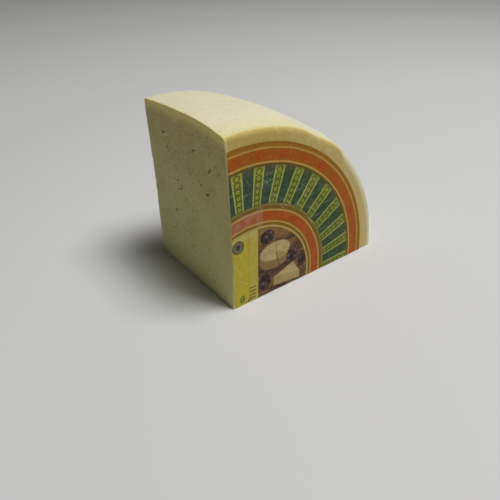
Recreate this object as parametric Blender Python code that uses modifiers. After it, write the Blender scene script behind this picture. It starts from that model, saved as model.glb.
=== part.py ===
"""A wedge cut from a wheel of pressed cheese, standing on one of its two cuts.

Units are metres, +Z is up. The wheel's axis lies along Y, so its labelled face looks towards -Y,
the upright cut looks towards -X, and the rind curves over the top and down the +X side.
The origin is under the middle of the wedge, on the surface that it stands on.
"""

import math
import random

import bmesh
import bpy
from mathutils import Euler, Matrix, Vector

# The whole wheel that the wedge was cut from
WHEEL_RADIUS = 0.175          # out to the middle of the bulging side
WHEEL_HEIGHT = 0.1276         # from face to face
SIDE_DROP_FRONT = 0.0085      # how far the side draws in from its widest line to the labelled face
SIDE_DROP_BACK = 0.0035       # and to the other face
WIDEST_DEPTH = 0.066          # distance of that widest line from the labelled face
SHOULDER_FRONT = 0.0056       # rounding where the side meets the labelled face
SHOULDER_BACK = 0.0028        # and the other face
CROWN_FRONT = 0.0010          # the labelled face falls back this much towards its rim
CROWN_BACK = -0.0030          # the other face is dished, so its rim stands out
WHEEL_LEAN = math.radians(1.08)  # the wheel leans back from the upright

# The two cuts, a little off the wheel's centre and out of true, as a knife leaves them
CUT_PAST_CENTRE = 0.0199      # the upright cut passes this far beyond the wheel's axis
BASE_ABOVE_CENTRE = 0.0047    # the base cut passes this far above it
CUT_LEAN = math.radians(-1.31)
CUT_YAW = math.radians(-1.30)

# The round paper label, stuck a little off the middle of the wheel's face
LABEL_RADIUS = 0.1540
LABEL_SHIFT = (-0.0042, 0.0058)  # sideways and up from the wheel's axis
LABEL_THICKNESS = 0.0004
LABEL_GAP = 0.0003            # air between the paper and the cheese
LABEL_CLEAR_OF_BASE = 0.0005  # the paper ends just above the base cut

# Eyes in the paste, opened by the upright cut
EYE_SEED = 11
EYE_COUNT = 26
EYE_RADII = (0.0010, 0.0022)
EYE_MARGIN = 0.012            # paste without eyes next to the rind and the faces
EYE_SPACING = 0.009
MARKED_EYES = (               # the plainest ones: distance in from the label, height, radius
    (0.0300, 0.129, 0.0027),
    (0.0553, 0.139, 0.0026),
    (0.0348, 0.103, 0.0031),
    (0.1010, 0.128, 0.0020),
    (0.1026, 0.143, 0.0022),
    (0.0934, 0.065, 0.0020),
)

# Fineness of the mesh
TURN_STEPS = 144              # facets round a whole wheel
SIDE_POINTS = 14              # points down the bulging side
SHOULDER_POINTS = 6
FACE_POINTS = 8

COLLECTION_NAME = "cheese_wedge"
CUTTER_COLLECTION_NAME = "cutters"
BLOCK_SIZE = 0.60             # edge of the blocks that take away the rest of the wheel


def clear_scene():
    """Remove every object that the new file opens with."""
    for item in list(bpy.data.objects):
        bpy.data.objects.remove(item, do_unlink=True)


def new_collection(name):
    """Make a collection and link it to the scene."""
    collection = bpy.data.collections.new(name)
    bpy.context.scene.collection.children.link(collection)
    return collection


def new_material(name, colour, roughness):
    """Make a plain Principled material."""
    material = bpy.data.materials.new(name)
    material.use_nodes = True
    shader = material.node_tree.nodes["Principled BSDF"]
    shader.inputs["Base Color"].default_value = (*colour, 1.0)
    shader.inputs["Roughness"].default_value = roughness
    shader.inputs["Metallic"].default_value = 0.0
    material.diffuse_color = (*colour, 1.0)
    return material


def new_object(name, mesh, collection, parent):
    """Make an object from a mesh, inside a collection and under a parent."""
    item = bpy.data.objects.new(name, mesh)
    collection.objects.link(item)
    item.parent = parent
    return item


def crown(radius, rise):
    """Fall of a face from its middle, at a distance from the wheel's axis, for a fall at its rim."""
    return rise * (radius / WHEEL_RADIUS) ** 4


def side_radius(depth):
    """Radius of the bulging side at a depth below the labelled face, without its shoulders."""
    if depth < WIDEST_DEPTH:
        return WHEEL_RADIUS - SIDE_DROP_FRONT * ((WIDEST_DEPTH - depth) / WIDEST_DEPTH) ** 2
    return WHEEL_RADIUS - SIDE_DROP_BACK * ((depth - WIDEST_DEPTH) / (WHEEL_HEIGHT - WIDEST_DEPTH)) ** 2


def side_slope(depth):
    """Angle by which the side leans outwards as it goes down, in radians."""
    step = 0.0005
    return math.atan((side_radius(depth + step) - side_radius(depth - step)) / (2 * step))


def shoulder(edge_depth, rounding, towards_back):
    """A round that runs from a face at a depth into the side without a break, front face first."""
    middle_depth = edge_depth - rounding if towards_back else edge_depth + rounding
    slope = side_slope(middle_depth)
    touch_depth = middle_depth - rounding * math.sin(slope)
    middle_radius = side_radius(touch_depth) - rounding * math.cos(slope)
    start = 0.0
    end = math.pi / 2 - slope
    if towards_back:
        start, end = end, math.pi
    points = []
    for i in range(SHOULDER_POINTS):
        angle = start + (end - start) * i / (SHOULDER_POINTS - 1)
        points.append((middle_radius + rounding * math.sin(angle), middle_depth - rounding * math.cos(angle)))
    return points


def face_radii():
    """Radii of the points across a face, out to where the label can reach."""
    reach = LABEL_RADIUS + math.hypot(*LABEL_SHIFT)
    return [reach * i / FACE_POINTS for i in range(FACE_POINTS + 1)]


def wheel_profile():
    """The wheel's profile from the middle of the labelled face round to the other middle."""
    radii = face_radii()
    front = shoulder(crown(radii[-1], CROWN_FRONT), SHOULDER_FRONT, towards_back=False)
    back = shoulder(WHEEL_HEIGHT - crown(radii[-1], CROWN_BACK), SHOULDER_BACK, towards_back=True)
    points = [(radius, crown(radius, CROWN_FRONT)) for radius in radii] + front
    for i in range(1, SIDE_POINTS):
        depth = front[-1][1] + (back[0][1] - front[-1][1]) * i / SIDE_POINTS
        points.append((side_radius(depth), depth))
    points += back
    points += [(radius, WHEEL_HEIGHT - crown(radius, CROWN_BACK)) for radius in reversed(radii)]
    return points


def label_profile():
    """A skin over the crowned face: its printed side out to the edge, then its glued side back."""
    face = [(radius, crown(radius, CROWN_FRONT)) for radius in face_radii()]
    printed = [(radius, depth - LABEL_GAP - LABEL_THICKNESS) for radius, depth in face]
    glued = [(radius, depth - LABEL_GAP) for radius, depth in face]
    return printed + list(reversed(glued))


def set_on_wheel_axis(item, shift=(0.0, 0.0)):
    """Lay an object's Z axis along the wheel's axis, moved sideways and up by a shift."""
    item.rotation_euler = Euler((math.radians(90.0) - WHEEL_LEAN, 0.0, 0.0))
    item.location = (CUT_PAST_CENTRE + shift[0], 0.0, shift[1] - BASE_ABOVE_CENTRE)


def turned_object(name, profile, collection, parent):
    """Turn a (radius, depth) profile round the wheel's axis with a Screw modifier."""
    mesh = bpy.data.meshes.new(name)
    vertices = [(radius, 0.0, -depth) for radius, depth in profile]
    edges = [(i, i + 1) for i in range(len(vertices) - 1)]
    mesh.from_pydata(vertices, edges, [])
    item = new_object(name, mesh, collection, parent)
    set_on_wheel_axis(item)
    screw = item.modifiers.new("turn", "SCREW")
    screw.axis = "Z"
    screw.angle = math.radians(360.0)
    screw.steps = TURN_STEPS
    screw.render_steps = TURN_STEPS
    screw.use_merge_vertices = True
    screw.merge_threshold = 0.0001
    screw.use_smooth_shade = True
    return item


def label_outline(collection, parent):
    """A short cylinder round the label's own middle, which trims the skin to a disc."""
    mesh = bpy.data.meshes.new("label_outline")
    shape = bmesh.new()
    bmesh.ops.create_cone(shape, cap_ends=True, segments=TURN_STEPS, radius1=LABEL_RADIUS,
                          radius2=LABEL_RADIUS, depth=WHEEL_HEIGHT)
    shape.to_mesh(mesh)
    shape.free()
    item = new_object("label_outline", mesh, collection, parent)
    set_on_wheel_axis(item, LABEL_SHIFT)
    hide_cutter(item)
    return item


def block_cutter(name, offset, rotation, collection, parent):
    """A large cube, moved by an offset and then turned about the wedge's inner edge."""
    mesh = bpy.data.meshes.new(name)
    shape = bmesh.new()
    bmesh.ops.create_cube(shape, size=BLOCK_SIZE)
    bmesh.ops.translate(shape, verts=shape.verts, vec=offset)
    shape.to_mesh(mesh)
    shape.free()
    item = new_object(name, mesh, collection, parent)
    item.rotation_euler = rotation
    hide_cutter(item)
    return item


def hide_cutter(item):
    """Show a cutter as wire and keep it out of renders."""
    item.hide_render = True
    item.display_type = "WIRE"


def cut_rotation():
    """Turn of the upright cut: it leans out towards its top and swings in towards its back."""
    return Euler((0.0, CUT_LEAN, CUT_YAW))


def point_on_cut(depth, height):
    """A point of the upright cut, at a distance in from the label and a height."""
    flat = Vector((0.0, depth + height * math.tan(WHEEL_LEAN), height))
    return cut_rotation().to_matrix() @ flat


def eye_places():
    """Distance in, height and radius of each eye: the marked ones, then seeded random ones."""
    draw = random.Random(EYE_SEED)
    places = list(MARKED_EYES)
    while len(places) < EYE_COUNT:
        depth = draw.uniform(EYE_MARGIN, WHEEL_HEIGHT - EYE_MARGIN)
        height = draw.uniform(EYE_MARGIN, side_radius(depth) - EYE_MARGIN)
        radius = EYE_RADII[0] + (EYE_RADII[1] - EYE_RADII[0]) * draw.random() ** 2
        gaps = [math.hypot(depth - place[0], height - place[1]) for place in places]
        if min(gaps) > EYE_SPACING:
            places.append((depth, height, radius))
    return places


def eye_cutter(collection, parent):
    """All the eyes as one mesh of small flattened balls, each turned its own way."""
    draw = random.Random(EYE_SEED + 1)
    mesh = bpy.data.meshes.new("eye_cutter")
    shape = bmesh.new()
    for depth, height, radius in eye_places():
        stretch = Matrix.Diagonal((1.0, draw.uniform(0.6, 1.0), draw.uniform(0.9, 1.5), 1.0))
        turn = Euler((draw.uniform(0.0, math.pi), 0.0, 0.0)).to_matrix().to_4x4()
        place = Matrix.Translation(point_on_cut(depth, height))
        bmesh.ops.create_icosphere(shape, subdivisions=2, radius=radius, matrix=place @ turn @ stretch)
    shape.to_mesh(mesh)
    shape.free()
    item = new_object("eye_cutter", mesh, collection, parent)
    hide_cutter(item)
    return item


def add_boolean(item, cutter, operation):
    """Cut an object with another one by an exact Boolean."""
    boolean = item.modifiers.new("with_" + cutter.name, "BOOLEAN")
    boolean.operation = operation
    boolean.solver = "EXACT"
    boolean.object = cutter


def evaluated_corners(item):
    """Lowest and highest corners of an object as it is evaluated, in world space."""
    bpy.context.view_layer.update()
    view = bpy.context.evaluated_depsgraph_get()
    shown = item.evaluated_get(view)
    points = [shown.matrix_world @ vertex.co for vertex in shown.data.vertices]
    low = Vector([min(point[axis] for point in points) for axis in range(3)])
    high = Vector([max(point[axis] for point in points) for axis in range(3)])
    return low, high


def build():
    """Make the cheese and its label, and stand them on the origin."""
    clear_scene()
    parts = new_collection(COLLECTION_NAME)
    cutters = new_collection(CUTTER_COLLECTION_NAME)
    wedge = bpy.data.objects.new("wedge", None)
    parts.objects.link(wedge)

    half = BLOCK_SIZE / 2
    upright = block_cutter("upright_cut", (-half, 0.0, 0.0), cut_rotation(), cutters, wedge)
    base = block_cutter("base_cut", (0.0, 0.0, -half), Euler(), cutters, wedge)
    label_base = block_cutter(
        "label_base_cut", (0.0, 0.0, LABEL_CLEAR_OF_BASE - half), Euler(), cutters, wedge)
    eyes = eye_cutter(cutters, wedge)

    cheese = turned_object("cheese", wheel_profile(), parts, wedge)
    cheese.data.materials.append(new_material("cheese", (0.80, 0.72, 0.47), 0.55))
    for cutter in (upright, base, eyes):
        add_boolean(cheese, cutter, "DIFFERENCE")

    label = turned_object("label", label_profile(), parts, wedge)
    label.data.materials.append(new_material("label_print", (0.55, 0.30, 0.08), 0.35))
    add_boolean(label, label_outline(cutters, wedge), "INTERSECT")
    for cutter in (upright, label_base):
        add_boolean(label, cutter, "DIFFERENCE")

    low = Vector([min(pair) for pair in zip(*(evaluated_corners(item)[0] for item in (cheese, label)))])
    high = Vector([max(pair) for pair in zip(*(evaluated_corners(item)[1] for item in (cheese, label)))])
    wedge.location = Vector((-(low.x + high.x) / 2, -(low.y + high.y) / 2, -low.z))
    bpy.context.view_layer.update()


build()
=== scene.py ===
# %% [markdown]
# # A wedge of pressed cheese
#
# The real thing is a little over a quarter of a wheel of mild pressed cow's milk cheese. It stands on
# one of its two knife cuts, so the other cut looks at us from the left, the wheel's labelled face looks
# at us from the right, and the rind curves over the top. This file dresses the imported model, which is
# already in place: it builds a finer cheese and a finer label in the same frame, paints them with nodes,
# and lights them.

import math

import bmesh
import bpy
import numpy as np
from mathutils import Matrix, Vector


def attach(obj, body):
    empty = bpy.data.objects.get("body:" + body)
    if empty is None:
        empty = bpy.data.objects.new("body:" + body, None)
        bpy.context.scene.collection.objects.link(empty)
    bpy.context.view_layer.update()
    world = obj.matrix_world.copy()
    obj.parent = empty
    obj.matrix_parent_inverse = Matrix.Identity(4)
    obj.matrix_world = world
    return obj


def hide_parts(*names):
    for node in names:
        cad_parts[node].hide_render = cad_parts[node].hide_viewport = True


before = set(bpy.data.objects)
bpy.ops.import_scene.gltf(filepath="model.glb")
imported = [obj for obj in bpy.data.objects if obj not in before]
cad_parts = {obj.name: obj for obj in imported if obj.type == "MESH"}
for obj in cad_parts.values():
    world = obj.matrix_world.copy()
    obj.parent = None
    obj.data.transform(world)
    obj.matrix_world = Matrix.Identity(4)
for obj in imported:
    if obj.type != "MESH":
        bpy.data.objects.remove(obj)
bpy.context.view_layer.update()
print("solids in the frame:", sorted(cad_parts))

# %% [markdown]
# ## The wheel that the wedge was cut from
#
# A wheel of cheese is a turned shape, so it has a profile: a nearly flat face with the label, a rounded
# shoulder, a side that bulges, a second shoulder and the other face, which is slightly dished. The
# numbers are those of the solid model, because the finer shapes have to lie on it, but the shoulder in
# view is tighter here and the far face lies a little further out, as their edges in the photograph do. The
# wheel's axis runs along Y and leans back by about a degree.

# %% The wheel's own sizes, in metres
MM = 0.001
WHEEL_RADIUS = 175.0 * MM          # out to the middle of the bulging side
WHEEL_HEIGHT = 129.8 * MM          # from face to face
WIDEST_DEPTH = 66.0 * MM           # where the side bulges most, below the labelled face
SIDE_DROP = (8.5 * MM, 3.5 * MM)   # how far the side draws in towards each face
SHOULDER = (5.0 * MM, 2.8 * MM)    # rounding at each face
CROWN = (1.0 * MM, -3.0 * MM)      # how far each face falls back towards its rim
FACE_REACH = 162.8 * MM            # the faces are true out to here
LEAN = math.radians(1.08)          # how far the wheel's axis leans back

CORNER = np.array([-95.689, -66.059, 0.0]) * MM   # where the two cuts meet the labelled face
AXIS = CORNER + np.array([19.9, 0.0, -4.7]) * MM  # where the wheel's axis meets that face
print("wheel", round(2000 * WHEEL_RADIUS), "mm across, axis through", AXIS.round(4))


# %% Profile of the side and the faces
def side_radius(depth):
    """Widest radius, less a drop that grows with the square of the distance from the widest line."""
    front = np.clip((WIDEST_DEPTH - depth) / WIDEST_DEPTH, 0.0, None)
    back = np.clip((depth - WIDEST_DEPTH) / (WHEEL_HEIGHT - WIDEST_DEPTH), 0.0, None)
    return WHEEL_RADIUS - SIDE_DROP[0] * front ** 2 - SIDE_DROP[1] * back ** 2


def face_depth(radius, which):
    """Depth of face 0 or 1 at a radius: the fall at the rim times the fourth power of its share."""
    fall = CROWN[which] * (np.minimum(radius, FACE_REACH) / WHEEL_RADIUS) ** 4
    return fall if which == 0 else WHEEL_HEIGHT - fall


def shoulder(which, count):
    """Arc from a face into the side: middle plus rounding times the sine and cosine of its angle."""
    sign = 1.0 if which == 0 else -1.0
    rounding = SHOULDER[which]
    middle_depth = face_depth(FACE_REACH, which) + sign * rounding
    step = 0.5 * MM
    slope = math.atan((side_radius(middle_depth + step) - side_radius(middle_depth - step)) / (2 * step))
    middle_radius = side_radius(middle_depth - rounding * math.sin(slope)) - rounding * math.cos(slope)
    ends = (0.0, math.pi / 2 - slope) if which == 0 else (math.pi / 2 - slope, math.pi)
    angle = np.linspace(*ends, count)
    return np.stack([middle_radius + rounding * np.sin(angle), middle_depth - rounding * np.cos(angle)], 1)


SHOULDER_POINTS, SIDE_POINTS = 9, 42
front_arc, back_arc = shoulder(0, SHOULDER_POINTS), shoulder(1, SHOULDER_POINTS)
side_depths = np.linspace(front_arc[-1, 1], back_arc[0, 1], SIDE_POINTS + 1)[1:-1]
side_line = np.stack([side_radius(side_depths), side_depths], 1)
rim = np.concatenate([front_arc, side_line, back_arc])   # (radius, depth) from face to face
print("profile of", len(rim), "points; widest radius", round(1000 * rim[:, 0].max(), 1), "mm")

# %% [markdown]
# ## Where the knife went
#
# The base is a level cut and the other one is upright, a little out of true. Both pass near the wheel's
# centre but not through it. A ring of the wheel meets a plane where a cosine and a sine add up to a
# constant, which has a closed answer, so the ends of every ring are exact and need no Boolean.

# %% Points on the wheel and the ends of its rings
CUT_LEAN, CUT_YAW = math.radians(-1.31), math.radians(-1.30)
cut_normal = np.array([math.cos(CUT_YAW) * math.cos(CUT_LEAN),
                       math.sin(CUT_YAW) * math.cos(CUT_LEAN), -math.sin(CUT_LEAN)])


def on_wheel(turn, radius, depth):
    """Radius times cosine sideways and times sine upwards, then tipped back by the wheel's lean."""
    up = radius * np.sin(turn)
    return np.stack([AXIS[0] + radius * np.cos(turn),
                     AXIS[1] + depth * math.cos(LEAN) + up * math.sin(LEAN),
                     AXIS[2] + up * math.cos(LEAN) - depth * math.sin(LEAN)], -1)


def turn_at_base(radius, depth):
    """The angle at which a ring stands on the level cut: the sine that brings its height to zero."""
    return np.arcsin((depth * math.sin(LEAN) - AXIS[2]) / (radius * math.cos(LEAN)))


def turn_at_cut(radius, depth, inside):
    """The angle at which a ring is a distance inside the upright cut: b cos + c sin = that distance - a."""
    nx, ny, nz = cut_normal
    a = nx * (AXIS[0] - CORNER[0]) + ny * depth * math.cos(LEAN) + nz * (AXIS[2] - depth * math.sin(LEAN))
    b = nx * radius
    c = radius * (ny * math.sin(LEAN) + nz * math.cos(LEAN))
    return np.arctan2(c, b) + np.arccos((inside - a) / np.hypot(b, c))


low_turn, high_turn = turn_at_base(*rim.T), turn_at_cut(*rim.T, 0.0)
print("rings run from", np.degrees(low_turn[[0, -1]]).round(2), "to", np.degrees(high_turn[[0, -1]]).round(2))

# %% [markdown]
# ## Small unevenness
#
# Nothing on a cheese is ruled. A sum of a few sine waves with seeded directions and phases gives gentle,
# repeatable hills that a whole array can be passed through at once. It serves for the knife's waves, for
# the hand-worn rind and later for the label's creases.


# %% Gentle hills from a few seeded sine waves
WAVES = 9


def hills(a, b, wavelength, seed):
    """Sum of sine waves over the plane (a, b), over the root of their number: about -1 to 1."""
    draw = np.random.default_rng(seed)
    headings = draw.uniform(0.0, 2 * math.pi, WAVES)
    lengths = wavelength * draw.uniform(0.7, 1.6, WAVES)
    phases = draw.uniform(0.0, 2 * math.pi, WAVES)
    total = 0.0
    for heading, length, phase in zip(headings, lengths, phases):
        total = total + np.sin(2 * math.pi * (a * math.cos(heading) + b * math.sin(heading)) / length + phase)
    return total / math.sqrt(WAVES)


def layered(a, b, layers):
    """Hills on hills: each layer's height times the hills of its wavelength and seed, all added up."""
    return sum(height * hills(a, b, wavelength, seed) for height, wavelength, seed in layers)


trial = hills(*np.meshgrid(np.linspace(0, 1, 50), np.linspace(0, 1, 50)), 0.2, 1)
print("hills reach from", trial.min().round(2), "to", trial.max().round(2))

# %% [markdown]
# ## The cheese as one closed surface
#
# Every angle of the wedge gets one line: a spoke from the inner corner over the labelled face, then the
# rim's profile, then a spoke back over the other face. Side by side these lines are a grid that covers
# everything but the two cuts. The upright cut is a patch stretched between its four edges, and between
# the two lie four columns that round the knife's edge. On the far side the cut has crumbled a little,
# so the rounding is wider there and its width wanders.

# %% Spokes and rings
TURNS, SPOKE_POINTS = 124, 96
EDGE_ROUNDING = 0.55 * MM
CRUMBLE = 1.7 * MM
CRUMBLE_HILLS = ((1.0, 17 * MM, 5), (0.7, 5 * MM, 6))     # height, wavelength, seed
ROUNDS = 5        # depth and radius depend on each other, and settle in as many rounds


def on_face(x, z, which):
    """Points at x, z with the y that puts them on face 0 or 1, found in rounds from the last radius."""
    side, up = x - AXIS[0], z - AXIS[2]
    y = np.zeros_like(x)
    for _ in range(ROUNDS):
        radius = np.hypot(side, y * math.sin(LEAN) + up * math.cos(LEAN))
        y = (face_depth(radius, which) + up * math.sin(LEAN)) / math.cos(LEAN)
    return np.stack([x, y + AXIS[1], z], -1)


def spoke(start, end, which):
    """A run of points over a face, straight when seen from the front, from start to end."""
    share = np.linspace(0.0, 1.0, SPOKE_POINTS + 1)[:, None]
    x, z = (start[[0, 2]] + (end[[0, 2]] - start[[0, 2]]) * share).T
    return on_face(x, z, which)


def foot(which, inside):
    """The corner of the wedge on the floor at a face, moved a distance in from the upright cut."""
    point = CORNER.copy()
    for _ in range(ROUNDS):
        point[0] = CORNER[0] + (inside - cut_normal[1] * (point[1] - CORNER[1])) / cut_normal[0]
        point[1] = spoke(point, point, which)[0, 1]
    return point


def crumble(height):
    """Width of the rounding on the far edge of the cut: a base width and what hills add above zero."""
    loss = layered(height, height * 0.0, CRUMBLE_HILLS)
    return EDGE_ROUNDING + CRUMBLE * np.clip(loss, 0.0, None)


def outline(inside_front, inside_rim, inside_back):
    """One line round the wedge at the upright cut, moved in from it by the given distances."""
    ring = on_wheel(turn_at_cut(*rim.T, inside_rim), *rim.T)
    near = spoke(foot(0, inside_front), ring[0], 0)
    far = spoke(foot(1, inside_back), ring[-1], 1)
    return np.concatenate([near, ring[1:-1], far[::-1]])


last_turn = turn_at_cut(*rim.T, EDGE_ROUNDING)
steps = np.linspace(0.0, 1.0, TURNS + 1)[:, None]
rings = on_wheel(low_turn + (last_turn - low_turn) * steps, *rim.T)
near_foot, far_foot = foot(0, EDGE_ROUNDING), foot(1, EDGE_ROUNDING)
lines = np.stack([np.concatenate([spoke(near_foot, ring[0], 0), ring[1:-1],
                                  spoke(far_foot, ring[-1], 1)[::-1]]) for ring in rings])
print("the sweep is", lines.shape[0], "lines of", lines.shape[1], "points")

# %% The rounded edge of the upright cut
ROUND_COLUMNS = 4
sharp = outline(0.0, 0.0, 0.0)
count = len(sharp)
place = np.arange(count)
first_far = count - 1 - SPOKE_POINTS        # the first point of the line on the far face
outward = np.zeros((count, 3))
outward[:, 1] = np.where(place <= SPOKE_POINTS, -1.0, np.where(place >= first_far, 1.0, 0.0))
tangent = np.gradient(rim, axis=0)
normal = np.stack([tangent[:, 1], -tangent[:, 0]], 1)
normal /= np.linalg.norm(normal, axis=1)[:, None]
turned = np.stack([normal[:, 0] * np.cos(high_turn), normal[:, 1], normal[:, 0] * np.sin(high_turn)], 1)
outward[SPOKE_POINTS:SPOKE_POINTS + len(rim)] = turned
inward = -(outward - (outward @ cut_normal)[:, None] * cut_normal)
inward /= np.linalg.norm(inward, axis=1)[:, None]

crumbled = crumble(sharp[np.maximum(place, first_far), 2])
share = np.clip((place - first_far + SHOULDER_POINTS) / SHOULDER_POINTS, 0.0, 1.0)
width = EDGE_ROUNDING + (crumbled - EDGE_ROUNDING) * share
rounded = []
for step in np.linspace(0.0, math.pi / 2, ROUND_COLUMNS + 1)[1:]:
    rounded.append(sharp + (lines[-1] - sharp) * (1 - math.sin(step))
                   + inward * (width * (1 - math.cos(step)))[:, None])
rounded = np.stack(rounded)
rounded[:, [0, -1], 2] = 0.0
sweep = np.concatenate([lines, rounded])
print("edge rounding from", round(1000 * width.min(), 2), "to", round(1000 * width.max(), 2), "mm")

# %% The upright cut as a patch between its four edges
edge = rounded[-1]
left, top, right = edge[:SPOKE_POINTS + 1], edge[SPOKE_POINTS:-SPOKE_POINTS], edge[::-1][:SPOKE_POINTS + 1]
across = ((top[:, 1] - top[0, 1]) / (top[-1, 1] - top[0, 1]))[None, :, None]
upward = np.linspace(0.0, 1.0, SPOKE_POINTS + 1)[:, None, None]
bottom = left[0] + (right[0] - left[0]) * across[0]
corners = ((1 - across) * (1 - upward) * left[0] + across * (1 - upward) * right[0]
           + (1 - across) * upward * left[-1] + across * upward * right[-1])
patch = ((1 - upward) * bottom[None] + upward * top[None]
         + (1 - across) * left[:, None] + across * right[:, None] - corners)
print("the cut is a patch of", patch.shape[0], "by", patch.shape[1], "points")


# %% One mesh from the grids
def grid_faces(rows, columns, start):
    """The four corners of every cell of a grid whose points are numbered row by row."""
    cell = (np.arange(rows - 1)[:, None] * columns + np.arange(columns - 1) + start).reshape(-1, 1)
    return cell + np.array([0, 1, columns + 1, columns])


def closed_mesh(name, grids, rings=()):
    """A mesh of grids and flat rings of points, merged where they meet, with its faces outwards."""
    points, faces, start = [], [], 0
    for grid in grids:
        points.append(grid.reshape(-1, 3))
        faces += grid_faces(*grid.shape[:2], start).tolist()
        start += len(points[-1])
    for ring in rings:
        points.append(ring)
        faces.append(list(range(start, start + len(ring))))
        start += len(ring)
    mesh = bpy.data.meshes.new(name)
    mesh.from_pydata(np.concatenate(points).tolist(), [], faces)
    shape = bmesh.new()
    shape.from_mesh(mesh)
    bmesh.ops.remove_doubles(shape, verts=shape.verts, dist=0.001 * MM)
    bmesh.ops.recalc_face_normals(shape, faces=shape.faces)
    open_edges = sum(not edge.is_manifold for edge in shape.edges)
    volume = shape.calc_volume(signed=True)
    shape.to_mesh(mesh)
    shape.free()
    print(name, len(mesh.vertices), "points,", len(mesh.polygons), "faces,", open_edges,
          "open edges,", round(volume * 1e6, 1), "ml")
    return mesh


def in_scene(name, data):
    """A new object with its data, linked to the scene."""
    item = bpy.data.objects.new(name, data)
    bpy.context.scene.collection.objects.link(item)
    return item


# %% Knife waves, and a wheel that isn't quite round
KNIFE_HILLS = ((0.30 * MM, 70 * MM, 3), (0.05 * MM, 8 * MM, 4))
KNIFE_BELLY, BELLY_TALL = 0.45 * MM, 150 * MM   # the cut is hollow, and stands out at its foot and top
KNIFE_FADE = 12 * MM                            # distance from the cut over which its waves die away
RIND_HILLS = ((0.22 * MM, 55 * MM, 8), (0.12 * MM, 16 * MM, 9))
RIND_FROM, RIND_FADE, FOOT_FADE = 150 * MM, 14 * MM, 10 * MM
# A wheel settles while it is soft, so its face isn't centred on its side: how far the rim of the
# labelled face lies sideways, upwards and outwards of the true one, fading to the widest depth
RIM_SHIFT, RIM_SPREAD = (-4.5 * MM, -1.8 * MM), 4.4 * MM
# then a soft bump and a soft dent: angle, size and half width, and the depths over which they fade
BELLS = ((math.radians(50.4), 1.7 * MM, math.radians(4.4)),
         (math.radians(62), -1.7 * MM, math.radians(5.8)))
BELL_GONE, BELL_LENGTH = 137.5 * MM, 110 * MM
ON_FLOOR = 1e-9


def knife_waves(points):
    """Points pushed in or out along the cut's normal by hills, less the further they are from it."""
    away = (points - CORNER) @ cut_normal
    wave = layered(points[..., 1], points[..., 2], KNIFE_HILLS)
    wave = wave + KNIFE_BELLY * np.sin(math.pi * np.clip(points[..., 2] / BELLY_TALL, 0, 1)) - KNIFE_BELLY
    moved = points + (wave * np.exp(-np.abs(away) / KNIFE_FADE))[..., None] * cut_normal
    moved[..., 2] = np.where(points[..., 2] < ON_FLOOR, points[..., 2], moved[..., 2])
    return moved


def out_of_round(turn, depth):
    """How far the side stands out: the rim's shift along the radius, and two bell curves."""
    rim_shift = RIM_SPREAD + RIM_SHIFT[0] * np.cos(turn) + RIM_SHIFT[1] * np.sin(turn)
    bells = sum(size * np.exp(-((turn - at) / half) ** 2) for at, size, half in BELLS)
    return (rim_shift * np.clip(1.0 - depth / WIDEST_DEPTH, 0.0, 1.0)
            + bells * np.clip((BELL_GONE - depth) / BELL_LENGTH, 0.0, 1.0))


def worn_rind(points):
    """Points of the side pushed along the radius by hills and the wheel's shape, less on the faces."""
    side, up = points[..., 0] - AXIS[0], points[..., 2] - AXIS[2]
    radius = np.hypot(side, up)
    turn = np.arctan2(up, side)
    depth = points[..., 1] - AXIS[1]
    push = layered(turn * WHEEL_RADIUS, depth, RIND_HILLS) + out_of_round(turn, depth)
    push = push * np.clip((radius - RIND_FROM) / RIND_FADE, 0.0, 1.0)
    push = push * np.clip(points[..., 2] / FOOT_FADE, 0.0, 1.0)
    moved = points.copy()
    moved[..., 0] += push * np.cos(turn)
    moved[..., 2] += push * np.sin(turn)
    return moved


sweep, patch = (worn_rind(knife_waves(grid)) for grid in (sweep, patch))
base_loop = np.concatenate([sweep[0], sweep[1:, -1], patch[0, ::-1][1:-1], sweep[1:, 0][::-1]])
keep = np.linalg.norm(np.diff(base_loop, axis=0, append=base_loop[:1]), axis=1) > 0.002 * MM
cheese = in_scene("cheese_wedge", closed_mesh("cheese_wedge", [sweep, patch], [base_loop[keep]]))

# %% [markdown]
# ## Eyes in the paste
#
# This cheese has few, small and irregular holes, some round and some slit-like. Each one is cut out of
# the solid, because a hole has an overhang that no bump gives. The tools for it are lumpy balls, all
# made at once as one array over latitude and longitude. The plainest eyes have their own places; a
# seeded draw adds the pinprick ones, some all over the cut and some gathered round the plain ones.

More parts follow.
